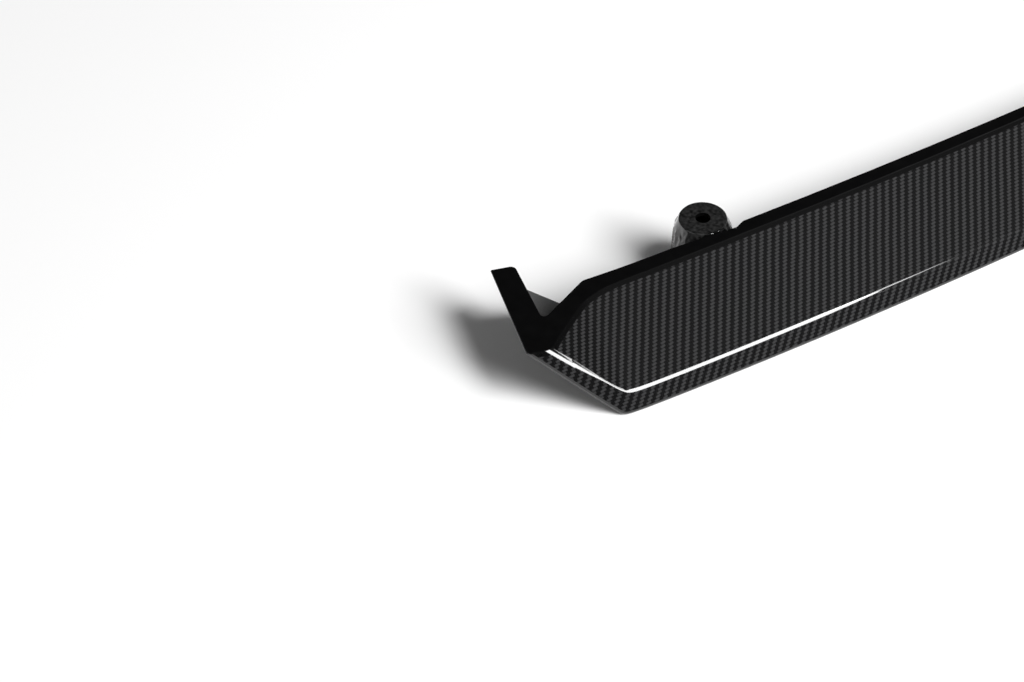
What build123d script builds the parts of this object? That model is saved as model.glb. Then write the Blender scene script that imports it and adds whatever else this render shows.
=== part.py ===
"""Right-hand front splitter lip: one moulded shell, hollow and open along its back.

The outside is a smooth loft of plain cross sections. A flat floor, an upswept end panel
and a level flange bound it, and the same form drawn one wall thickness smaller hollows it.
While it is drawn, x runs along the lip from its front corner, y runs back and z runs up.
"""

import os
from math import sqrt

from build123d import *

# Whole piece
length = 560.0          # front corner to the far end
height = 49.8           # floor to the top of the flange
wall = 2.5              # thickness of the moulded shell
front_bow = 28.0        # how far the front edge has curved back at the far end
back_bow = 21.5         # the same for the flange
back_bow_start = 60.0   # where the flange starts to curve

# Lip face and main face, as a section across the lip
lip_height = 15.3       # floor to the crease
lip_lean = 0.483        # how far the lip face leans back for each mm of height
face_depth = 74.5       # bottom front edge to the fold where the flange starts
flange_width = 11.2     # fold to the back edge of the flange
crease_radius = 5.5     # rounding of the crease along the lip
crease_end_radius = 20.0    # the same where the crease nears the flange
crease_grows = (0.3, 0.7)   # shares of its climb between which that rounding grows

# Near end, where the lip face turns back and climbs to the flange
crease_corner_x = 5.7   # where the crease turns
crease_turn = 0.721     # how far back the crease then goes for each mm along the lip
crease_climb = 0.82     # how far it climbs for each mm along the lip
foot_corner_x = -24.0   # where the lip face turns at a level below the floor
foot_turn = 0.55        # how far back it then goes there for each mm along the lip
corner_blend_width = 3.2    # how widely the crease is rounded where it turns
foot_blend_width = 14.7     # the same for the lip face at that lower level
face_turn = 0.605       # how far the fold comes forward for each mm along the lip
fold_end_y = 66.5       # where that slanted fold line crosses x = 0
face_end_slope = 0.57   # how steep the face is at the near end
fold_blend_width = 4.5      # how widely the fold is rounded where it turns

# End strip and notch of the flange, as seen from above
corner_c = (-53.6, 43.3)    # outer front corner of the strip
corner_a = (-36.3, 125.8)   # outer tip of the strip
corner_b = (-18.2, 121.5)   # inner tip of the strip
corner_v = (-26.9, 65.9)    # inner corner of the notch
corner_d = (15.0, 86.9)     # where the back edge bends towards the notch
tip_radius = 4.0
notch_radius = 3.0
bend_radius = 9.0

# Floor
floor_depth = 105.1     # bottom front edge to the back edge of the floor
panel_setback = 8.0     # tip of the strip to the back edge of the panel under it
floor_bend_radius = 10.0
foot_radius = 2.5       # rounding of the bottom edge
rim_radius = 1.0        # rounding of the strip's outer edge

# Bosses for the screws
near_boss_x = 118.7     # front corner to the centre of the near boss
far_boss_distance = 65.0    # centre of the far boss to the far end
boss_positions = [near_boss_x, length - far_boss_distance]
boss_depth = 101.8      # bottom front edge to the boss centre, before the bow
boss_top_radius = 16.7
boss_shoulder_radius = 20.5
boss_base_radius = 22.0
boss_shoulder_drop = 9.0    # top to the foot of the sloping shoulder
boss_flange_gap = 2.5   # between the deepest relief and the flat front of a boss
boss_hole_radius = 5.3
boss_top_wall = 3.0
boss_rim_radius = 1.5
tongue_margin = 1.5     # floor left round the foot of a boss
tongue_radius = 8.0     # where the tongue runs into the floor's back edge

# Relief of the flange beside each boss
relief_start = 33.0     # how far before the boss centre it starts
relief_deepest = 15.5   # how far past the boss centre it is deepest
relief_end = 22.5       # how far past the boss centre it ends
relief_depth = 3.2

# How far the construction shapes run past the finished piece
reach = 20.0
rise = 30.0             # of the sections past the top of the flange
fine_step = 6.0         # between the sections at the near end
coarse_step = 40.0      # between the sections along the rest
step_growth = 1.15
same_level = 0.01       # heights no further apart than this count as one level


def bow(x, full, start=0):
    """How far back the gentle curve of the lip has moved a line at x."""
    return full * (max(x - start, 0) / (length - start)) ** 2


def back_line(x, depth):
    """The y of a line along the back that lies at this depth at the near end."""
    return depth + bow(x, back_bow, back_bow_start)


def soft_max(a, b, blend_width):
    """The larger of two values, with a rounded change from one to the other."""
    return (a + b + sqrt((a - b) ** 2 + blend_width**2)) / 2


def soft_min(a, b, blend_width):
    return -soft_max(-a, -b, blend_width)


def foot_y(x):
    """The lip face, carried down to a level below the floor."""
    front = -lip_lean * reach + bow(x, front_bow)
    end = -lip_lean * reach - foot_turn * (x - foot_corner_x)
    return soft_max(front, end, foot_blend_width)


def crease_y(x):
    front = lip_lean * lip_height + bow(x, front_bow)
    end = lip_lean * lip_height - crease_turn * (x - crease_corner_x)
    return soft_max(front, end, corner_blend_width)


def crease_z(x):
    climb = lip_height - crease_climb * (x - crease_corner_x)
    return soft_max(lip_height, climb, corner_blend_width)


def crease_rounding(x):
    """The crease is rounded more widely as it climbs to the flange."""
    climbed = (crease_z(x) - lip_height) / (height - lip_height)
    grown = (climbed - crease_grows[0]) / (crease_grows[1] - crease_grows[0])
    return crease_radius + (crease_end_radius - crease_radius) * min(max(grown, 0), 1)


def brow_y(x):
    """The main face, carried up to a level above the flange."""
    face_slope = (height - lip_height) / (face_depth - lip_lean * lip_height)
    front = back_line(x, face_depth) + rise / face_slope
    end = fold_end_y + face_turn * x + rise / face_end_slope
    return soft_min(front, end, fold_blend_width)


def flange_edge(x):
    """A point of the flange's back edge."""
    return (x, back_line(x, face_depth + flange_width))


def floor_edge(x):
    """A point of the floor's back edge."""
    return (x, back_line(x, floor_depth))


def boss_centre(x):
    return (x, back_line(x, boss_depth))


back_y = floor_depth + back_bow + boss_base_radius + reach


def section_stations(end_x):
    """Where the sections stand: close together round the near end, then further apart."""
    stations = [corner_c[0] - fine_step]
    step = fine_step
    while stations[-1] + 1.5 * step < end_x:
        stations.append(stations[-1] + step)
        if stations[-1] > 2 * corner_d[0]:
            step = min(step_growth * step, coarse_step)
    return stations + [end_x]


def envelope(inset, end_x):
    """The outer form as a solid, or the same form drawn smaller by the inset."""
    with BuildPart() as form:
        for x in section_stations(end_x):
            with BuildSketch(Plane.YZ.offset(x)) as section:
                with BuildLine():
                    Polyline(
                        (foot_y(x), -reach),
                        (crease_y(x), crease_z(x)),
                        (brow_y(x), height + rise),
                        (back_y, height + rise),
                        (back_y, -reach),
                        close=True,
                    )
                make_face()
                crease = section.vertices().sort_by(Axis.Y)[2]
                fillet(crease, crease_rounding(x))
                if inset:
                    offset(amount=-inset, kind=Kind.INTERSECTION, mode=Mode.REPLACE)
        loft()
        with BuildSketch(Plane.XY.offset(inset)):
            Rectangle(4 * length, 4 * length)
        extrude(amount=height - 2 * inset, mode=Mode.INTERSECT)
        split(bisect_by=end_panel.offset(inset), keep=Keep.TOP)
        bend = straight_edge_at(form, inset)
        fillet(bend, floor_bend_radius - inset)
    return form.part


def straight_edge_at(form, level):
    """The near-end edge that the end panel makes with a level face."""
    lines = form.edges().filter_by(GeomType.LINE)
    return lines.filter_by_position(Axis.Z, level - same_level, level + same_level).sort_by(Axis.X)[0]


# The underside of the near end: a flat panel that rises from the floor to the strip
panel_x = Vector(*corner_c, height).normalized()
panel_z = Vector(*corner_c, height).cross(Vector(*corner_a, height)).normalized()
end_panel = Plane(origin=(0, 0, 0), x_dir=panel_x, z_dir=-panel_z)

# The outer form, with its bottom edge and the outer edge of the strip rounded
with BuildPart() as outer:
    add(envelope(0, length))
    lip_face = outer.faces().filter_by(lambda face: face.normal_at().Y < -0.8).sort_by(SortBy.AREA)[-1]
    under_edges = outer.faces().filter_by(lambda face: face.normal_at().Z < -0.5).edges()
    foot = lip_face.edges().filter_by(lambda edge: edge in under_edges)
    fillet(foot, foot_radius)
    fillet(straight_edge_at(outer, height), rim_radius)

# What is cut away behind the floor and the end panel, up to just under the flange
parting = height - 1.5 * wall
far_x = length + reach
near_x = corner_c[0] - reach
behind = back_y + reach
floor_start_x = floor_depth * (corner_a[0] - corner_c[0]) / (corner_a[1] - corner_c[1])
panel_edge_slope = (floor_depth - corner_a[1] + panel_setback) / (floor_start_x - corner_a[0])
with BuildPart() as floor_cut:
    with BuildSketch(Plane.XY.offset(-reach)) as floor_waste:
        with BuildLine():
            start = (floor_start_x, floor_edge(floor_start_x)[1])
            near = (near_x, start[1] + panel_edge_slope * (near_x - floor_start_x))
            ThreePointArc(start, floor_edge((floor_start_x + far_x) / 2), floor_edge(far_x))
            Polyline(floor_edge(far_x), (far_x, behind), (near_x, behind), near, start)
        make_face()
        for x in boss_positions:
            with Locations(boss_centre(x)):
                Circle(boss_base_radius + tongue_margin, mode=Mode.SUBTRACT)
        tongue_corners = floor_waste.vertices().filter_by(
            lambda vertex: any(abs(vertex.X - x) < 1.5 * boss_base_radius for x in boss_positions)
        )
        fillet(tongue_corners, tongue_radius)
    extrude(amount=parting + reach)

# What is cut away behind the flange and inside the notch
with BuildPart() as flange_cut:
    with BuildSketch(Plane.XY.offset(parting)) as flange_waste:
        with BuildLine():
            tip_slope = (corner_b[1] - corner_a[1]) / (corner_b[0] - corner_a[0])
            near = (near_x, corner_a[1] + tip_slope * (near_x - corner_a[0]))
            Polyline(flange_edge(far_x), (far_x, behind), (near_x, behind), near)
            Polyline(near, corner_b, corner_v, corner_d)
            start_x, start = corner_d[0], corner_d
            for x in boss_positions:
                relief_x = x - relief_start
                deepest = flange_edge(x + relief_deepest)
                ThreePointArc(start, flange_edge((start_x + relief_x) / 2), flange_edge(relief_x))
                start_x = x + relief_end
                start = flange_edge(start_x)
                Polyline(flange_edge(relief_x), (deepest[0], deepest[1] - relief_depth), start)
            ThreePointArc(start, flange_edge((start_x + far_x) / 2), flange_edge(far_x))
        make_face()
        for corner, radius in (
            (corner_b, tip_radius),
            (corner_v, notch_radius),
            (corner_d, bend_radius),
        ):
            fillet(flange_waste.vertices().sort_by_distance(corner)[0], radius)
    extrude(amount=height - parting + reach)


def boss_form(x, inset, top):
    """One boss as a post with a sloping shoulder and a flat front, or the hollow inside it."""
    shoulder_z = height - boss_shoulder_drop
    foot_radii = (boss_base_radius - inset, boss_shoulder_radius - inset)
    top_radii = (boss_shoulder_radius - inset, boss_top_radius - inset)
    front_y = flange_edge(x)[1] - relief_depth + boss_flange_gap + inset
    standing = (Align.CENTER, Align.CENTER, Align.MIN)
    with BuildPart() as post:
        with Locations(boss_centre(x)):
            Cone(*foot_radii, shoulder_z, align=standing)
        with Locations((*boss_centre(x), shoulder_z)):
            Cone(*top_radii, top - shoulder_z, align=standing)
        split(bisect_by=Plane.XZ.offset(-front_y), keep=Keep.BOTTOM)
        if not inset:
            fillet(post.faces().sort_by(Axis.Z)[-1].edges(), boss_rim_radius)
    return post.part


with BuildPart() as shell:
    add(outer.part)
    add(envelope(wall, length - wall), mode=Mode.SUBTRACT)
    add(floor_cut.part, mode=Mode.SUBTRACT)
    add(flange_cut.part, mode=Mode.SUBTRACT)
    # The wall that closes the far end slants from the flange's edge to the floor's edge
    with BuildSketch(Plane.YZ.offset(far_x)):
        with BuildLine():
            Polyline(
                (flange_edge(length)[1], height),
                (floor_edge(length)[1], wall),
                (back_y, wall),
                (back_y, height),
                close=True,
            )
        make_face()
    extrude(amount=length - wall - far_x, mode=Mode.SUBTRACT)
    for x in boss_positions:
        add(boss_form(x, 0, height))
        add(boss_form(x, wall, height - boss_top_wall), mode=Mode.SUBTRACT)
        with Locations((*boss_centre(x), height)):
            Hole(boss_hole_radius, depth=boss_top_wall + wall)

# The kept frame has its origin under the middle of the piece, on the floor
box = shell.part.bounding_box()
origin = ((box.min.X + box.max.X) / 2, (box.min.Y + box.max.Y) / 2, 0)
with BuildPart() as splitter_lip:
    with Locations((-origin[0], -origin[1], 0)):
        add(shell.part)
splitter_lip.part.label = "splitter_lip"

os.makedirs("parts", exist_ok=True)
export_step(splitter_lip.part, "parts/splitter_lip.step")
print("origin at", origin)
for x in boss_positions:
    print("boss centre", boss_centre(x)[0] - origin[0], boss_centre(x)[1] - origin[1])
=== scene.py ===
# %% [markdown]
# A front splitter lip in glossy woven laminate, lying on a white studio floor.
# The imported CAD model is the fixed frame: it says where everything is, in metres.
# Every piece below is made around it.

from math import radians, sin, cos, sqrt

import bmesh
import bpy
import numpy as np
from mathutils import Matrix, Vector


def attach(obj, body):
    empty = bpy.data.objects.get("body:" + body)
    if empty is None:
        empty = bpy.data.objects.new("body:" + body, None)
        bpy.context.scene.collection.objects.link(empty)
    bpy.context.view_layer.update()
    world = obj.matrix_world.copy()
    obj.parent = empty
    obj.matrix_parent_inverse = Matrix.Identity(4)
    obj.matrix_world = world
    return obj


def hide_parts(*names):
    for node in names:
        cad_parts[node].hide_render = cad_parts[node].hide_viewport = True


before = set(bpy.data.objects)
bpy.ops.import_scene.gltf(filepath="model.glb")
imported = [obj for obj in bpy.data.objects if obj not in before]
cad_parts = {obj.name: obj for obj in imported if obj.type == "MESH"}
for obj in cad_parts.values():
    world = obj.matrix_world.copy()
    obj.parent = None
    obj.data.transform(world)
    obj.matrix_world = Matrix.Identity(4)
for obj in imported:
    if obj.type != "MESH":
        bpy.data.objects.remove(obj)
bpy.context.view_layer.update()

# %% [markdown]
# The photograph was taken from 44 degrees above, with a long lens, so lines that run
# back hardly draw together. A camera matrix made of three directions, right, up and
# back, holds that view exactly.

# %% Camera
CAMERA_PLACE = Vector((-1.10205, -1.47310, 1.6683))
CAMERA_AHEAD = Vector((0.3420, 0.6293, -0.6979)).normalized()
CAMERA_LENS = 123.05
SENSOR_WIDTH = 36.0


def turned_to(ahead):
    """The rotation that looks along ahead, with the picture's bottom edge level."""
    right = ahead.cross(Vector((0, 0, 1))).normalized()
    up = right.cross(ahead)
    return Matrix((right, up, -ahead)).transposed().to_4x4()


camera_data = bpy.data.cameras.new("photo_camera")
camera_data.lens = CAMERA_LENS
camera_data.sensor_width = SENSOR_WIDTH
camera = bpy.data.objects.new("photo_camera", camera_data)
camera.matrix_world = Matrix.Translation(CAMERA_PLACE) @ turned_to(CAMERA_AHEAD)
bpy.context.collection.objects.link(camera)
bpy.context.scene.camera = camera
print("camera at", [round(c, 2) for c in CAMERA_PLACE], "m, focal length", CAMERA_LENS, "mm")

# %% [markdown]
# Shader maths reads best as plain sums. This small class wraps one output socket, so
# that a + b or 1 - a adds the Math node and its links. Any other node comes from
# Shader.node, which takes its type, its settings and the values of its sockets.


# %% Shader helpers
class Value:
    """One number in a material: writing sums with it adds the Math nodes."""

    def __init__(self, shader, socket):
        self.shader, self.socket = shader, socket

    def maths(self, operation, *others):
        terms = dict(enumerate((self, *others)))
        return self.shader.node("ShaderNodeMath", {"operation": operation}, terms)

    def __add__(self, other):
        return self.maths("ADD", other)

    def __radd__(self, other):
        return self.maths("ADD", other)

    def __sub__(self, other):
        return self.maths("SUBTRACT", other)

    def __rsub__(self, other):
        return self.shader.number(other).maths("SUBTRACT", self)

    def __mul__(self, other):
        return self.maths("MULTIPLY", other)

    def __rmul__(self, other):
        return self.maths("MULTIPLY", other)

    def __truediv__(self, other):
        return self.maths("DIVIDE", other)

    def __mod__(self, other):
        return self.maths("FLOORED_MODULO", other)

    def __lt__(self, other):
        return self.maths("LESS_THAN", other)

    def clamped(self):
        """The same number, kept between 0 and 1."""
        added = self.maths("ADD", 0.0)
        added.socket.node.use_clamp = True
        return added

    def sibling(self, output):
        """Another output of the same node."""
        return Value(self.shader, self.socket.node.outputs[output])


class Shader:
    """A new material, and the ways to add nodes to it."""

    def __init__(self, name):
        self.material = bpy.data.materials.new(name)
        self.material.use_nodes = True
        self.tree = self.material.node_tree
        self.surface = self.tree.nodes["Principled BSDF"]

    def node(self, kind, settings=None, inputs=None, output=0):
        """Adds a node, sets its settings first, then its sockets, and returns one output."""
        made = self.tree.nodes.new(kind)
        for name, setting in (settings or {}).items():
            setattr(made, name, setting)
        for key, value in (inputs or {}).items():
            self.plug(made.inputs[key], value)
        return Value(self, made.outputs[output])

    def plug(self, socket, value):
        if isinstance(value, Value):
            self.tree.links.new(value.socket, socket)
        else:
            socket.default_value = value

    def noise(self, place, scale, detail):
        return self.node("ShaderNodeTexNoise", {}, {"Vector": place, "Scale": scale, "Detail": detail})

    def bump(self, height, strength, depth):
        """A normal that follows a height between 0 and 1, of a depth in metres."""
        return self.node("ShaderNodeBump", {}, {"Strength": strength, "Distance": depth, "Height": height})

    def vector(self, *parts):
        return self.node("ShaderNodeCombineXYZ", {}, dict(enumerate(parts)))

    def blend(self, share, start, end):
        """A colour between two, the first at a share of 0 and the second at 1."""
        return self.node("ShaderNodeMix", {"data_type": "RGBA"}, {0: share, 6: start, 7: end}, output=2)

    def number(self, value):
        return self.node("ShaderNodeMath", {"operation": "ADD"}, {0: value, 1: 0.0})

    def finish(self, **sockets):
        """Sets the surface shader's own sockets: Base_Color stands for Base Color."""
        for name, value in sockets.items():
            self.plug(self.surface.inputs[name.replace("_", " ")], value)
        print(self.material.name, "has", len(self.tree.nodes), "nodes")
        return self.material


def grey(level):
    return (level, level, level, 1)


# %% [markdown]
# The cloth is a 2x2 twill of carbon tows about 2 mm wide. Each tow goes over two and
# under two, one step further in each row, and those steps line up as ribs. The tows
# that run one way catch the light and the others don't, so the ribs alternate. That
# sheen is painted into the cloth's colour, brightest on the crown of each lit tow and
# dimmer where it dives under. The pattern is worked out from the flattened cloth, in mm:
# the two numbers of the tows that cross at a point say which of them is on top. A bump
# gives each tow its crown, under a smooth clear coat. Near the fold the cloth ends and the
# black resin is plain, but for a painted highlight on the fold itself: a grey line, which
# grows from the near end on, where the rounded fold would catch the light.

# %% Woven laminate
TOW = 1.964
LIGHT_TOWS_TURN, DARK_TOWS_TURN = radians(15.9), radians(108)
CLOTH_STARTS_BELOW_FOLD, CLOTH_EDGE = 3.2, 0.5
# How wide the painted highlight on the fold is, in mm, and over how many mm from the near end it grows.
FOLD_HIGHLIGHT_WIDTH, FOLD_HIGHLIGHT_GROWS_OVER = 0.7, 400
WANDER_SCALE, WANDER_TOWS = 0.05, 0.5
TOW_END_HEIGHT = 0.4
FIBRES_ALONG, FIBRES_ACROSS = 0.6, 9.0
# The cloth's own black, and the brightest painted sheen of its lit tows.
CLOTH_DARK, CLOTH_SHEEN = (0.0008, 0.0008, 0.0009, 1), (0.036, 0.036, 0.037, 1)
# The resin's own black, and the grey of the painted highlight on the fold.
RESIN, FOLD_HIGHLIGHT_GREY = (0.0015, 0.0015, 0.0016, 1), grey(0.014)
CLEAR_COAT = {"Coat_Weight": 1.0, "Coat_Roughness": 0.02, "Coat_IOR": 1.6}


def crown(across):
    """1 along the middle of a tow and 0 at its two sides."""
    return 1 - (2 * across - 1).maths("POWER", 2)


def float_end(along):
    """1 in the middle of a float and 0 where the tow dives under, two tows further on."""
    return 1 - (along - 1).maths("ABSOLUTE").maths("POWER", 3)


def tow_height(tow_crown, end):
    return tow_crown * (TOW_END_HEIGHT + (1 - TOW_END_HEIGHT) * end)


laminate = Shader("woven_laminate")
cloth_uv = laminate.node("ShaderNodeUVMap", {"uv_map": "cloth"})
cloth_x = laminate.node("ShaderNodeSeparateXYZ", {}, {0: cloth_uv})
cloth_y = cloth_x.sibling(1)
wander = laminate.noise(cloth_uv, WANDER_SCALE, detail=1.0) * WANDER_TOWS - WANDER_TOWS / 2
light_tow = (cloth_y * cos(LIGHT_TOWS_TURN) - cloth_x * sin(LIGHT_TOWS_TURN)) / TOW + wander
dark_tow = (cloth_x * sin(DARK_TOWS_TURN) - cloth_y * cos(DARK_TOWS_TURN)) / TOW
light_number, dark_number = light_tow.maths("FLOOR"), dark_tow.maths("FLOOR")
light_on_top = ((light_number - dark_number) % 4) < 2
light_end = float_end((dark_tow - light_number + 1) % 4)
dark_end = float_end((light_tow - dark_number - 2) % 4)
light_height = tow_height(crown(light_tow - light_number), light_end)
dark_height = tow_height(crown(dark_tow - dark_number), dark_end)
height = light_on_top * light_height + (1 - light_on_top) * dark_height
fibre_place = laminate.vector(cloth_x * FIBRES_ALONG, cloth_y * FIBRES_ACROSS, 0.0)
fibres = laminate.noise(fibre_place, scale=1.0, detail=2.0)
# Painted sheen: the tows of one way are lit, brightest on the crown and dimmer at the ends; the others stay
# nearly black.
light_tow_sheen, dark_tow_sheen = 0.35 + 0.65 * light_height, 0.05 + 0.07 * dark_height
painted_sheen = light_on_top * light_tow_sheen + (1 - light_on_top) * dark_tow_sheen
cloth_colour_with_sheen = laminate.blend(painted_sheen * (0.85 + 0.3 * fibres), CLOTH_DARK, CLOTH_SHEEN)
below_fold = laminate.node("ShaderNodeAttribute", {"attribute_name": "below_fold"}, output="Fac")
has_cloth = ((below_fold - CLOTH_STARTS_BELOW_FOLD) / CLOTH_EDGE).clamped()
# Painted highlight: a grey line along the fold, fading in from the near end.
painted_fold_highlight = (1 - (below_fold / FOLD_HIGHLIGHT_WIDTH).clamped()) * (cloth_x / FOLD_HIGHLIGHT_GROWS_OVER).clamped()
woven_laminate = laminate.finish(
    Base_Color=laminate.blend(has_cloth, laminate.blend(painted_fold_highlight, RESIN, FOLD_HIGHLIGHT_GREY), cloth_colour_with_sheen),
    Roughness=0.5,
    Specular_IOR_Level=0.04,
    Normal=laminate.bump(height * has_cloth, strength=0.5, depth=0.00012),
    **CLEAR_COAT,
)

# %% [markdown]
# The flange, the strip, the rims and the underside are the same moulding without cloth
# under the lacquer: nearly black, with faint clouds in the resin. The inside was never
# polished, so it is a dull grey with the grain of the release cloth. The bosses are
# lacquered by hand, so their black is mottled and their gloss uneven.

# %% Plain lacquer, bare inside and boss lacquer
lacquer = Shader("plain_lacquer")
lacquer_place = lacquer.node("ShaderNodeTexCoord", output="Object")
clouds = lacquer.noise(lacquer_place, scale=130.0, detail=3.0)
plain_lacquer = lacquer.finish(
    Base_Color=lacquer.blend(clouds, (0.001, 0.001, 0.0011, 1), (0.0034, 0.0034, 0.0035, 1)),
    Roughness=0.5,
    Specular_IOR_Level=0.05,
    Normal=lacquer.bump(clouds, strength=0.1, depth=0.0001),
    **CLEAR_COAT,
)

inside = Shader("bare_inside")
inside_place = inside.node("ShaderNodeTexCoord", output="Object")
grain = inside.noise(inside_place, scale=900.0, detail=3.0)
patches = inside.noise(inside_place, scale=60.0, detail=2.0)
bare_inside = inside.finish(
    Base_Color=inside.blend(grain * 0.5 + patches * 0.5, grey(0.035), grey(0.085)),
    Roughness=0.6 + 0.2 * patches,
    Specular_IOR_Level=0.3,
    Normal=inside.bump(grain, strength=0.4, depth=0.0002),
)

handmade = Shader("boss_lacquer")
boss_place = handmade.node("ShaderNodeTexCoord", output="Object")
mottles = handmade.noise(boss_place, scale=420.0, detail=4.0)
drips = handmade.noise(boss_place, scale=150.0, detail=3.0)
boss_lacquer = handmade.finish(
    Base_Color=handmade.blend((mottles * 2.4 - 0.8).clamped(), (0.0025, 0.0025, 0.0026, 1), grey(0.03)),
    Roughness=0.25 + 0.3 * mottles,
    Normal=handmade.bump(drips, strength=0.5, depth=0.0003),
    Coat_Weight=1.0,
    Coat_Roughness=0.03,
)

# %% [markdown]
# The lip is one moulding, and its outside follows a rule. Seen from the end it is a
# steep lip face, a rounded crease and a long sloping face, and the three points that
# make this section slide along gentle curves. At the near end they turn back and climb
# to the flange. The same rule is written here with arrays, because a glossy surface
# shows every small error of its normals: with the rule they can be exact.

# %% The section's rule, in metres from the front corner
FRONT_CORNER = np.array((-0.25435, -0.07186, 0.0))
LENGTH, HEIGHT, WALL = 0.560, 0.0498, 0.0025
FRONT_BOW, BACK_BOW, BACK_BOW_START = 0.028, 0.0215, 0.060
LIP_HEIGHT, LIP_LEAN, FACE_DEPTH = 0.0153, 0.483, 0.0745
BELOW, ABOVE = 0.020, 0.030
CREASE_CORNER, CREASE_TURN, CREASE_CLIMB, CREASE_BLEND = 0.0057, 0.721, 0.82, 0.0032
FOOT_CORNER, FOOT_TURN, FOOT_BLEND = -0.024, 0.55, 0.0147
FOLD_END, FACE_TURN, FACE_END_SLOPE, FOLD_BLEND = 0.0665, 0.605, 0.57, 0.0045
CREASE_RADIUS, CREASE_END_RADIUS, CREASE_GROWS = 0.0055, 0.020, (0.3, 0.7)
FACE_SLOPE = (HEIGHT - LIP_HEIGHT) / (FACE_DEPTH - LIP_LEAN * LIP_HEIGHT)


def bow(x, full, start=0.0):
    return full * (np.maximum(x - start, 0) / (LENGTH - start)) ** 2


def soft_max(a, b, width):
    return (a + b + np.sqrt((a - b) ** 2 + width**2)) / 2


def section(x):
    """The foot, crease and brow of the section at x as y and z, and the crease's radius."""
    front, low = bow(x, FRONT_BOW), -LIP_LEAN * BELOW
    foot_y = soft_max(low + front, low - FOOT_TURN * (x - FOOT_CORNER), FOOT_BLEND)
    back = LIP_LEAN * LIP_HEIGHT
    crease_y = soft_max(back + front, back - CREASE_TURN * (x - CREASE_CORNER), CREASE_BLEND)
    crease_z = soft_max(LIP_HEIGHT, LIP_HEIGHT - CREASE_CLIMB * (x - CREASE_CORNER), CREASE_BLEND)
    along = FACE_DEPTH + bow(x, BACK_BOW, BACK_BOW_START) + ABOVE / FACE_SLOPE
    brow_y = -soft_max(-along, -(FOLD_END + FACE_TURN * x + ABOVE / FACE_END_SLOPE), FOLD_BLEND)
    climbed = (crease_z - LIP_HEIGHT) / (HEIGHT - LIP_HEIGHT)
    grown = np.clip((climbed - CREASE_GROWS[0]) / (CREASE_GROWS[1] - CREASE_GROWS[0]), 0, 1)
    radius = CREASE_RADIUS + (CREASE_END_RADIUS - CREASE_RADIUS) * grown
    foot = np.stack((foot_y, np.full_like(x, -BELOW)), -1)
    brow = np.stack((brow_y, np.full_like(x, HEIGHT + ABOVE)), -1)
    return foot, np.stack((crease_y, crease_z), -1), brow, radius


def outside(points):
    """How far points lie outside the rounded section, and how far up it from the crease."""
    foot, crease, brow, radius = section(points[:, 0])
    down = (foot - crease) / np.linalg.norm(foot - crease, axis=1)[:, None]
    up = (brow - crease) / np.linalg.norm(brow - crease, axis=1)[:, None]
    lip_out = np.stack((down[:, 1], -down[:, 0]), -1)
    face_out = np.stack((-up[:, 1], up[:, 0]), -1)
    facing = 1 + (lip_out * face_out).sum(1)
    centre = crease - radius[:, None] * (lip_out + face_out) / facing[:, None]
    arm = points[:, 1:] - centre
    past_lip, past_face = (arm * down).sum(1), (arm * up).sum(1)
    half_arc = radius * np.arccos(np.clip(facing - 1, -1, 1)) / 2
    reach = np.linalg.norm(arm, axis=1)
    middle = (lip_out + face_out) / np.linalg.norm(lip_out + face_out, axis=1)[:, None]
    side = arm[:, 0] * middle[:, 1] - arm[:, 1] * middle[:, 0]
    turned = radius * np.arctan2(side, (arm * middle).sum(1))
    where = [past_lip > 0, past_face > 0]
    distance = np.select(where, [(arm * lip_out).sum(1), (arm * face_out).sum(1)], reach)
    along = np.select(where, [-half_arc - past_lip, half_arc + past_face], turned)
    return distance - radius, along, half_arc


def outward(points, step=2e-5):
    """The exact normals of the outside, from how the distance changes in x, y and z."""
    steps = np.eye(3) * step
    slopes = [outside(points + s)[0] - outside(points - s)[0] for s in steps]
    normals = np.stack(slopes, -1)
    return normals / np.linalg.norm(normals, axis=1)[:, None]


print("steepest part of the face:", round(FACE_SLOPE, 3))

# %% [markdown]
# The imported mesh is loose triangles, coarse enough to see in a mirror finish. A copy of
# it is joined up, sorted into its surfaces and cut finer where it matters: along the
# crease and round the bosses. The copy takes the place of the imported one. Each
# triangle's corner also keeps the normal it came with, for the parts with no rule.
# To sort a triangle, its middle has to be close to a surface, and its direction nearly
# that of the surface: the measures of likeness are cosines of the angle between them.

# %% Copy the shell and join its triangles
cad_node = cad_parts["splitter_lip"]
work = bmesh.new()
cad_mesh = cad_node.data
packed_normals = np.empty(len(cad_mesh.loops) * 3, np.float32)
cad_mesh.corner_normals.foreach_get("vector", packed_normals)
work.from_mesh(cad_mesh)
kept_normal = work.loops.layers.float_vector.new("packed_normal")
corners = (corner for face in work.faces for corner in face.loops)
for corner, normal in zip(corners, packed_normals.reshape(-1, 3)):
    corner[kept_normal] = Vector(normal.tolist())
SAME_POINT, NO_LENGTH = 2e-6, 1e-7
bmesh.ops.remove_doubles(work, verts=work.verts, dist=SAME_POINT)
bmesh.ops.dissolve_degenerate(work, edges=work.edges, dist=NO_LENGTH)
print(len(work.faces), "triangles,", sum(edge.is_boundary for edge in work.edges), "open edges")

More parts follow.
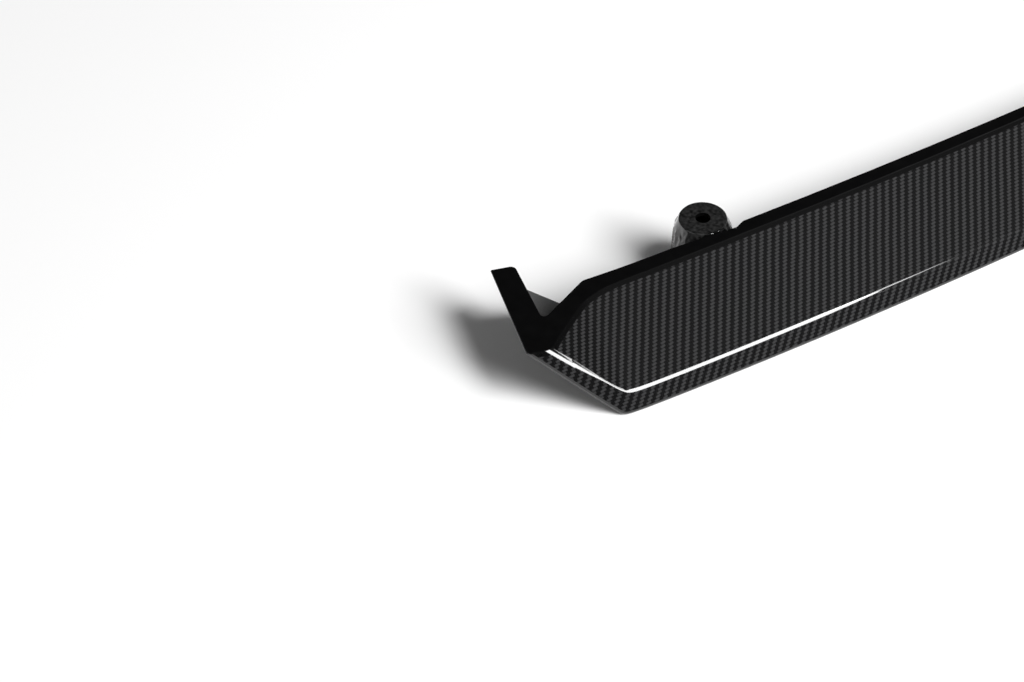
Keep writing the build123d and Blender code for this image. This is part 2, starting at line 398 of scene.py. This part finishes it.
# %% Sort the triangles into surfaces
SURFACES = WOVEN, CREASE, PLAIN, INNER, BOSS = range(5)
FLANGE_WIDTH = 0.0112
BOSS_PLACES, BOSS_BEHIND_CORNER = (0.1187, 0.495), 0.1018
BOSSES = [np.array((x, BOSS_BEHIND_CORNER + bow(x, BACK_BOW, BACK_BOW_START))) for x in BOSS_PLACES]
BOSS_RADIUS, BOSS_TOP_RADIUS, BOSS_SHOULDER_RADIUS, SHOULDER_DROP = 0.022, 0.0167, 0.0205, 0.009
BOSS_TOP_THICKNESS = 0.002
STRIP_TIP, STRIP_BACK = (-0.0536, 0.0433, HEIGHT), (-0.0363, 0.1258, HEIGHT)
PANEL_NORMAL = np.cross(STRIP_TIP, STRIP_BACK)
PANEL_NORMAL /= np.linalg.norm(PANEL_NORMAL)
CLOSE, HAIR = 0.0002, 0.00001
ALIKE, THE_SAME, PARALLEL, LEVEL = 0.96, 0.999, 0.95, 0.9


def surfaces_of(faces):
    """The surface that each face belongs to, from where its middle is and which way it faces."""
    middles = np.array([face.calc_center_median()[:] for face in faces]) - FRONT_CORNER
    facing = np.array([face.normal[:] for face in faces])
    distance, along, half_arc = outside(middles)
    agree = (facing * outward(middles)).sum(1)
    x, y, z = middles.T
    sorted_into = np.full(len(faces), PLAIN)
    skin = (abs(distance) < 2 * CLOSE) & (agree > ALIKE) & (z < HEIGHT - HAIR) & (x < LENGTH - 10 * HAIR)
    skin &= (along > -half_arc) | (agree > THE_SAME)
    sorted_into[skin] = WOVEN
    sorted_into[skin & (abs(along) < half_arc)] = CREASE
    under_panel = middles @ PANEL_NORMAL
    inner = (abs(distance + WALL) < CLOSE) & (agree < -LEVEL)
    inner |= (abs(z - WALL) < CLOSE) & (facing[:, 2] > LEVEL)
    inner |= (abs(z - HEIGHT + WALL) < CLOSE) & (facing[:, 2] < -LEVEL)
    on_panel = (abs(abs(under_panel) - WALL) < CLOSE) & (abs(facing @ PANEL_NORMAL) > PARALLEL)
    inner |= on_panel & (facing[:, 2] > 0)
    inner |= (abs(x - LENGTH + WALL) < CLOSE) & (facing[:, 0] < -LEVEL)
    for centre in BOSSES:
        arm = middles[:, :2] - centre
        away = np.linalg.norm(arm, axis=1)
        faces_out = (arm * facing[:, :2]).sum(1) > 0
        near = (away < BOSS_RADIUS + CLOSE) & (z > 10 * HAIR)
        inner |= near & ~faces_out & (facing[:, 2] < 0.5) & (z < HEIGHT - BOSS_TOP_THICKNESS)
        behind = y > FACE_DEPTH + bow(x, BACK_BOW, BACK_BOW_START) + FLANGE_WIDTH + 5 * CLOSE
        sorted_into[near & (faces_out | (facing[:, 2] > LEVEL)) & behind & (z > WALL + HAIR)] = BOSS
    sorted_into[inner] = INNER
    return sorted_into


work.faces.ensure_lookup_table()
work.normal_update()
surface = work.faces.layers.int.new("surface")
for face, number in zip(work.faces, surfaces_of(work.faces)):
    face[surface] = int(number)
print("triangles on each surface:", [sum(face[surface] == n for face in work.faces) for n in SURFACES])

# %% [markdown]
# Long edges are halved again and again until each is short enough for its surface. The
# new points of the outside are then put on the rule, in two steps because it curves, and
# those round a boss on its cone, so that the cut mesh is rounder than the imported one. Each
# point of a boss gets its share of the wrinkles, which fade out at the floor, at the hole
# and towards the top.

# %% Cut the triangles finer
LONGEST = {WOVEN: 0.004, CREASE: 0.0015, PLAIN: 0.03, INNER: 0.03, BOSS: 0.0015}
MOST_ROUNDS = 9
for _ in range(MOST_ROUNDS):
    long_edges = [e for e in work.edges if e.calc_length() > min(LONGEST[f[surface]] for f in e.link_faces)]
    if not long_edges:
        break
    bmesh.ops.subdivide_edges(work, edges=long_edges, cuts=1)
    bmesh.ops.triangulate(work, faces=[face for face in work.faces if len(face.verts) > 3])
print(len(work.faces), "triangles after cutting")

# %% Put the new points on the true surfaces
points = np.array([vert.co[:] for vert in work.verts]) - FRONT_CORNER
surfaces_at = [{face[surface] for face in vert.link_faces} for vert in work.verts]
skin_only = np.array([found <= {WOVEN, CREASE} for found in surfaces_at])
for _ in range(2):
    off, normals = outside(points[skin_only])[0], outward(points[skin_only])
    points[skin_only] -= off[:, None] * normals

boss_only = np.array([found <= {BOSS} for found in surfaces_at])
HOLE_RADIUS, RIM_RADIUS, ON_CONE = 0.0053, 0.0015, 0.0004
FADE_AT_FLOOR, FADE_AT_HOLE, FADE_AT_TOP, TOP_SHARE = 0.004, 0.002, 0.006, 0.1
wrinkle_share = np.zeros(len(points))
for centre in BOSSES:
    arm = points[:, :2] - centre
    away = np.linalg.norm(arm, axis=1)
    rising = np.clip(points[:, 2] / (HEIGHT - SHOULDER_DROP), 0, 1)
    shoulder = np.clip((points[:, 2] - HEIGHT + SHOULDER_DROP) / SHOULDER_DROP, 0, 1)
    cone = BOSS_RADIUS + (BOSS_SHOULDER_RADIUS - BOSS_RADIUS) * rising
    cone += (BOSS_TOP_RADIUS - BOSS_SHOULDER_RADIUS) * shoulder
    on_cone = boss_only & (abs(away - cone) < ON_CONE) & (points[:, 2] < HEIGHT - RIM_RADIUS - CLOSE)
    points[on_cone, :2] = centre + arm[on_cone] * (cone / away)[on_cone, None]
    near = boss_only & (away < BOSS_RADIUS + CLOSE)
    fade = np.clip((points[:, 2] - WALL) / FADE_AT_FLOOR, 0, 1)
    fade *= np.clip((away - HOLE_RADIUS) / FADE_AT_HOLE, 0, 1)
    fade *= np.clip((HEIGHT - points[:, 2]) / FADE_AT_TOP, TOP_SHARE, 1)
    wrinkle_share[near] = fade[near]
for vert, place in zip(work.verts, points + FRONT_CORNER):
    vert.co = place
print(skin_only.sum(), "points on the rule,", boss_only.sum(), "on the bosses")

# %% [markdown]
# The cloth lies flat on the long face, so there its pattern is simply the place along x
# and the way up the slope. Below the crease the same cloth has been folded down. There a
# point takes the place of the nearest point of the crease, and goes on from it square to
# the crease, as far as it lies from it. A UV map holds this flattened cloth in mm.
# The rule lets the lip face stand up to two degrees steeper near the corner, where the
# real one keeps its lean, and a mirror shows that, so the normals there are turned up.

# %% Flatten the cloth
SLOPE_LENGTH = sqrt(1 + FACE_SLOPE**2)
CREASE_LINE = np.arange(-0.06, LENGTH + 0.02, 0.001)
FULL_LEAN_FROM = -0.01
MM_PER_METRE = 1000


def flattened(places):
    return np.stack((places[:, 0], (places[:, 1] + FACE_SLOPE * places[:, 2]) / SLOPE_LENGTH), -1)


def cloth_places(places, along, half_arc):
    """Where points of the outside lie on the flattened cloth."""
    _, crease, _, radius = section(CREASE_LINE)
    line = np.column_stack((CREASE_LINE, crease))
    run = np.gradient(line, axis=0)
    run /= np.linalg.norm(run, axis=1)[:, None]
    flat_line = flattened(line)
    flat_run = np.gradient(flat_line, axis=0)
    flat_run /= np.linalg.norm(flat_run, axis=1)[:, None]
    aside = np.stack((flat_run[:, 1], -flat_run[:, 0]), -1)
    cloth = flattened(places)
    for i in np.nonzero(along < 0)[0]:
        arms = places[i] - line
        nearest = (arms**2).sum(1).argmin()
        on = arms[nearest] @ run[nearest]
        off = sqrt(max(arms[nearest] @ arms[nearest] - on * on, 0))
        rounding = radius[nearest] / cos(half_arc[i] / radius[nearest]) - radius[nearest]
        cloth[i] = flat_line[nearest] + on * flat_run[nearest] + max(off - rounding, 0) * aside[nearest]
    return cloth


def leaned(normals, places, along, half_arc):
    """The normals, turned up where the lip face stands steeper than its full lean."""
    foot, crease, _, _ = section(places[:, 0])
    lean = (crease[:, 0] - foot[:, 0]) / (crease[:, 1] - foot[:, 1])
    missing = np.clip(np.arctan(LIP_LEAN) - np.arctan(lean), 0, None) * (places[:, 0] > FULL_LEAN_FROM)
    missing *= np.clip((half_arc - along) / (2 * half_arc), 0, 1)
    level = np.linalg.norm(normals[:, :2], axis=1)
    rise = np.arctan2(normals[:, 2], level) + missing
    return np.column_stack((normals[:, :2] * (np.cos(rise) / level)[:, None], np.sin(rise)))


_, along, half_arc = outside(points)
on_skin = np.array([bool(found & {WOVEN, CREASE}) for found in surfaces_at])
skin_points, skin_along, skin_arc = points[on_skin], along[on_skin], half_arc[on_skin]
exact_normals = np.zeros_like(points)
exact_normals[on_skin] = leaned(outward(skin_points), skin_points, skin_along, skin_arc)
cloth = np.zeros((len(points), 2))
cloth[on_skin] = cloth_places(skin_points, skin_along, skin_arc)
tilt = np.sqrt(np.clip(1 - exact_normals[:, 2] ** 2, 1e-4, 1))
below_fold = np.where(on_skin, (HEIGHT - points[:, 2]) / tilt, 0.0)
print("the flattened cloth is", (np.ptp(cloth[on_skin], axis=0) * MM_PER_METRE).round(1), "mm")

# %% Write the mesh with its pattern, its surfaces and its normals
work.faces.ensure_lookup_table()
work.verts.index_update()
SHARP_EDGE = radians(38)
cloth_map = work.loops.layers.uv.new("cloth")
for face in work.faces:
    woven = face[surface] in (WOVEN, CREASE)
    for corner in face.loops:
        corner[cloth_map].uv = cloth[corner.vert.index] * MM_PER_METRE
        if woven:
            corner[kept_normal] = Vector(exact_normals[corner.vert.index])
        elif face[surface] == BOSS:
            corner[kept_normal] = Vector((0, 0, 0))
for edge in work.edges:
    edge.smooth = edge.calc_face_angle(0) < SHARP_EDGE
for face in work.faces:
    face.smooth = True
shell_mesh = bpy.data.meshes.new("splitter_shell")
work.to_mesh(shell_mesh)
work.free()
for name, values in (("below_fold", below_fold * MM_PER_METRE), ("wrinkle_share", wrinkle_share)):
    shell_mesh.attributes.new(name, "FLOAT", "POINT").data.foreach_set("value", values.astype(np.float32))
shell = bpy.data.objects.new("splitter_shell", shell_mesh)
bpy.context.collection.objects.link(shell)
print(len(shell_mesh.polygons), "triangles in", shell.name)

# %% [markdown]
# The two hollow bosses were laid up by hand, and their sides are wrinkled from top to
# bottom. Geometry Nodes give both the same kind of wrinkles: each point moves along its
# normal, inwards, by a noise that is stretched upwards, as far as its wrinkle share says.
# The inputs set how deep, how wide and which pattern. The noise seldom strays more than a
# quarter from its middle, so four times that is the full depth. The same tree gives the
# bosses their own lacquer, and its result becomes a plain mesh again.

# %% Wrinkle tree
NOISE_SPREAD = 0.25
wrinkles = bpy.data.node_groups.new("boss_wrinkles", "GeometryNodeTree")
wrinkles.interface.new_socket("Shell", in_out="INPUT", socket_type="NodeSocketGeometry")
inputs = {
    "Wrinkle Depth": ("NodeSocketFloat", 0.0016),
    "Wrinkles per Metre": ("NodeSocketFloat", 120.0),
    "Upright Stretch": ("NodeSocketFloat", 0.24),
    "Seed": ("NodeSocketFloat", 4.0),
    "Boss Surface": ("NodeSocketInt", BOSS),
    "Boss Lacquer": ("NodeSocketMaterial", boss_lacquer),
}
sockets = {
    name: wrinkles.interface.new_socket(name, in_out="INPUT", socket_type=kind)
    for name, (kind, _) in inputs.items()
}
wrinkles.interface.new_socket("Wrinkled Shell", in_out="OUTPUT", socket_type="NodeSocketGeometry")


def add_node(kind, settings=None, links=None):
    """Adds a node to the wrinkle tree: settings first, then a value or a socket for each input."""
    node = wrinkles.nodes.new(kind)
    for name, setting in (settings or {}).items():
        setattr(node, name, setting)
    for key, source in (links or {}).items():
        if isinstance(source, bpy.types.NodeSocket):
            wrinkles.links.new(source, node.inputs[key])
        else:
            node.inputs[key].default_value = source
    return node


def maths(operation, *terms):
    return add_node("ShaderNodeMath", {"operation": operation}, dict(enumerate(terms))).outputs[0]


def attribute(name, kind):
    return add_node("GeometryNodeInputNamedAttribute", {"data_type": kind}, {"Name": name}).outputs[0]


given = add_node("NodeGroupInput").outputs
share, surface_number = attribute("wrinkle_share", "FLOAT"), attribute("surface", "INT")
stretch = add_node("ShaderNodeCombineXYZ", None, {0: 1.0, 1: 1.0, 2: given["Upright Stretch"]}).outputs[0]
place = add_node("GeometryNodeInputPosition").outputs[0]
stretched = add_node("ShaderNodeVectorMath", {"operation": "MULTIPLY"}, {0: place, 1: stretch}).outputs[0]
pattern = {"Vector": stretched, "W": given["Seed"], "Scale": given["Wrinkles per Metre"]}
pattern |= {"Detail": 2.5, "Roughness": 0.55}
noise = add_node("ShaderNodeTexNoise", {"noise_dimensions": "4D"}, pattern).outputs[0]
ridge = maths("ABSOLUTE", maths("SUBTRACT", noise, 0.5))
depth = maths("MULTIPLY", maths("MULTIPLY", ridge, -1 / NOISE_SPREAD), given["Wrinkle Depth"])
amount = maths("MULTIPLY", depth, share)
normal = add_node("GeometryNodeInputNormal").outputs[0]
shift = add_node("ShaderNodeVectorMath", {"operation": "SCALE"}, {0: normal, "Scale": amount}).outputs[0]
moved = add_node("GeometryNodeSetPosition", None, {"Geometry": given["Shell"], "Offset": shift}).outputs[0]
real = add_node("GeometryNodeRealizeInstances", None, {0: moved}).outputs[0]
numbers = {2: surface_number, 3: given["Boss Surface"]}
is_boss = add_node("FunctionNodeCompare", {"data_type": "INT", "operation": "EQUAL"}, numbers).outputs[0]
painting = {"Geometry": real, "Selection": is_boss, "Material": given["Boss Lacquer"]}
lacquered = add_node("GeometryNodeSetMaterial", None, painting).outputs[0]
add_node("NodeGroupOutput", None, {0: lacquered})
print(wrinkles.name, "has", len(wrinkles.nodes), "nodes")

# %% Wrinkle the bosses
SLOT_MATERIALS = (woven_laminate, plain_lacquer, bare_inside)
SLOT_OF = {WOVEN: 0, CREASE: 0, PLAIN: 1, INNER: 2, BOSS: 1}
for material in SLOT_MATERIALS:
    shell_mesh.materials.append(material)
surface_numbers = np.empty(len(shell_mesh.polygons), np.int32)
shell_mesh.attributes["surface"].data.foreach_get("value", surface_numbers)
slots = np.array([SLOT_OF[number] for number in surface_numbers], np.int32)
shell_mesh.polygons.foreach_set("material_index", slots)

wrinkling = shell.modifiers.new("boss_wrinkles", "NODES")
wrinkling.node_group = wrinkles
for name, socket in sockets.items():
    wrinkling[socket.identifier] = inputs[name][1]
evaluated = shell.evaluated_get(bpy.context.evaluated_depsgraph_get())
finished_mesh = bpy.data.meshes.new_from_object(evaluated, depsgraph=bpy.context.evaluated_depsgraph_get())
shell.modifiers.remove(wrinkling)
shell.data = finished_mesh
corner_normals = np.empty(len(finished_mesh.loops) * 3, np.float32)
finished_mesh.attributes["packed_normal"].data.foreach_get("vector", corner_normals)
finished_mesh.normals_split_custom_set(corner_normals.reshape(-1, 3))
finished_mesh.attributes.remove(finished_mesh.attributes["packed_normal"])
print(len(finished_mesh.polygons), "triangles, materials", [m.name for m in finished_mesh.materials])

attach(shell, "root")
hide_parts("splitter_lip")

# %% [markdown]
# The floor is a large pale sheet. One tall softbox in front, to the right and above
# lights it. Its picture in the lacquer is the bright line along the crease, and its
# right edge, which leans a little, is where that line ends. It throws the shadow to
# the left of the raised end, and a weak lamp on the left keeps that shadow grey. A small
# lamp close to the raised end, on the way to a place beside the softbox, widens the
# bright line there. The room above stays dark in the lacquer, which is why the level
# flange looks black, and gives a little soft light from all round. The camera and the
# lacquer see the paper brighter than it is lit, as in an overexposed background.

# %% Floor and lamps
FLOOR_HALF = 1.6
PAPER_GREY, PAPER_SEEN = 0.9, 1.0
SOFTBOX_AHEAD = Vector((-0.342, 0.60, -0.70)).normalized()
SOFTBOX_DISTANCE = 6.0

floor_corners = [(x * FLOOR_HALF, y * FLOOR_HALF, 0.0) for x, y in ((-1, -1), (1, -1), (1, 1), (-1, 1))]
floor_mesh = bpy.data.meshes.new("studio_floor")
floor_mesh.from_pydata(floor_corners, [], [(0, 1, 2, 3)])
floor = bpy.data.objects.new("studio_floor", floor_mesh)
bpy.context.collection.objects.link(floor)
paper = Shader("pale_paper")
ray = paper.node("ShaderNodeLightPath", output="Is Camera Ray")
seen = (ray + ray.sibling("Is Glossy Ray") + ray.sibling("Is Transmission Ray")).clamped()
paper_colour = paper.blend(seen, grey(PAPER_GREY), grey(PAPER_SEEN))
paper.finish(Base_Color=paper_colour, Roughness=0.9, Specular_IOR_Level=0.0)
floor_mesh.materials.append(paper.material)


def lamp(name, ahead, distance, size, watts, across=0.0, up=0.0, roll=0.0):
    """A flat lamp that faces the lip from a distance, moved in its own plane and rolled."""
    data = bpy.data.lights.new(name, "AREA")
    data.shape = "RECTANGLE"
    data.size, data.size_y = size
    data.energy = watts
    made = bpy.data.objects.new(name, data)
    turn = turned_to(ahead) @ Matrix.Rotation(radians(roll), 4, "Z")
    shift = turned_to(ahead) @ Vector((across, up, 0))
    made.matrix_world = Matrix.Translation(shift - ahead * distance) @ turn
    made.visible_camera = False
    bpy.context.collection.objects.link(made)
    print(name, "at", [round(c, 2) for c in made.matrix_world.translation], "m,", watts, "W")


lamp("softbox", SOFTBOX_AHEAD, SOFTBOX_DISTANCE, (2.17, 4.6), 560.0, across=-0.37, up=-0.21, roll=-19.5)

RAISED_END, NEAR_SHARE = Vector((-0.24, -0.06, 0.02)), 0.1
BESIDE_SOFTBOX = Vector((1.93, -0.4, SOFTBOX_DISTANCE))
plane = turned_to(SOFTBOX_AHEAD).to_3x3()
across, up, back = plane.transposed() @ RAISED_END.lerp(plane @ BESIDE_SOFTBOX, NEAR_SHARE)
lamp("end_lamp", SOFTBOX_AHEAD, back, (0.25, 0.09), 0.85, across, up, roll=20.0)

LEFT_AHEAD, LEFT_DISTANCE = Vector((0.9, 0.1, -0.42)).normalized(), 5.0
lamp("left_fill", LEFT_AHEAD, LEFT_DISTANCE, (3.0, 2.5), 25.0)

# %% Room
ROOM_SEEN, ROOM_FILL = 0.008, 0.07
room = bpy.data.worlds.new("dark_studio")
room.use_nodes = True
air = room.node_tree.nodes.new("ShaderNodeMix")
air.data_type = "RGBA"
air.inputs[6].default_value = grey(ROOM_SEEN)
air.inputs[7].default_value = grey(ROOM_FILL)
path = room.node_tree.nodes.new("ShaderNodeLightPath")
room.node_tree.links.new(path.outputs["Is Diffuse Ray"], air.inputs[0])
room.node_tree.links.new(air.outputs[2], room.node_tree.nodes["Background"].inputs["Color"])
bpy.context.scene.world = room
bpy.context.scene.view_settings.view_transform = "Standard"
print("room grey in the lacquer", ROOM_SEEN, "and as soft light", ROOM_FILL)
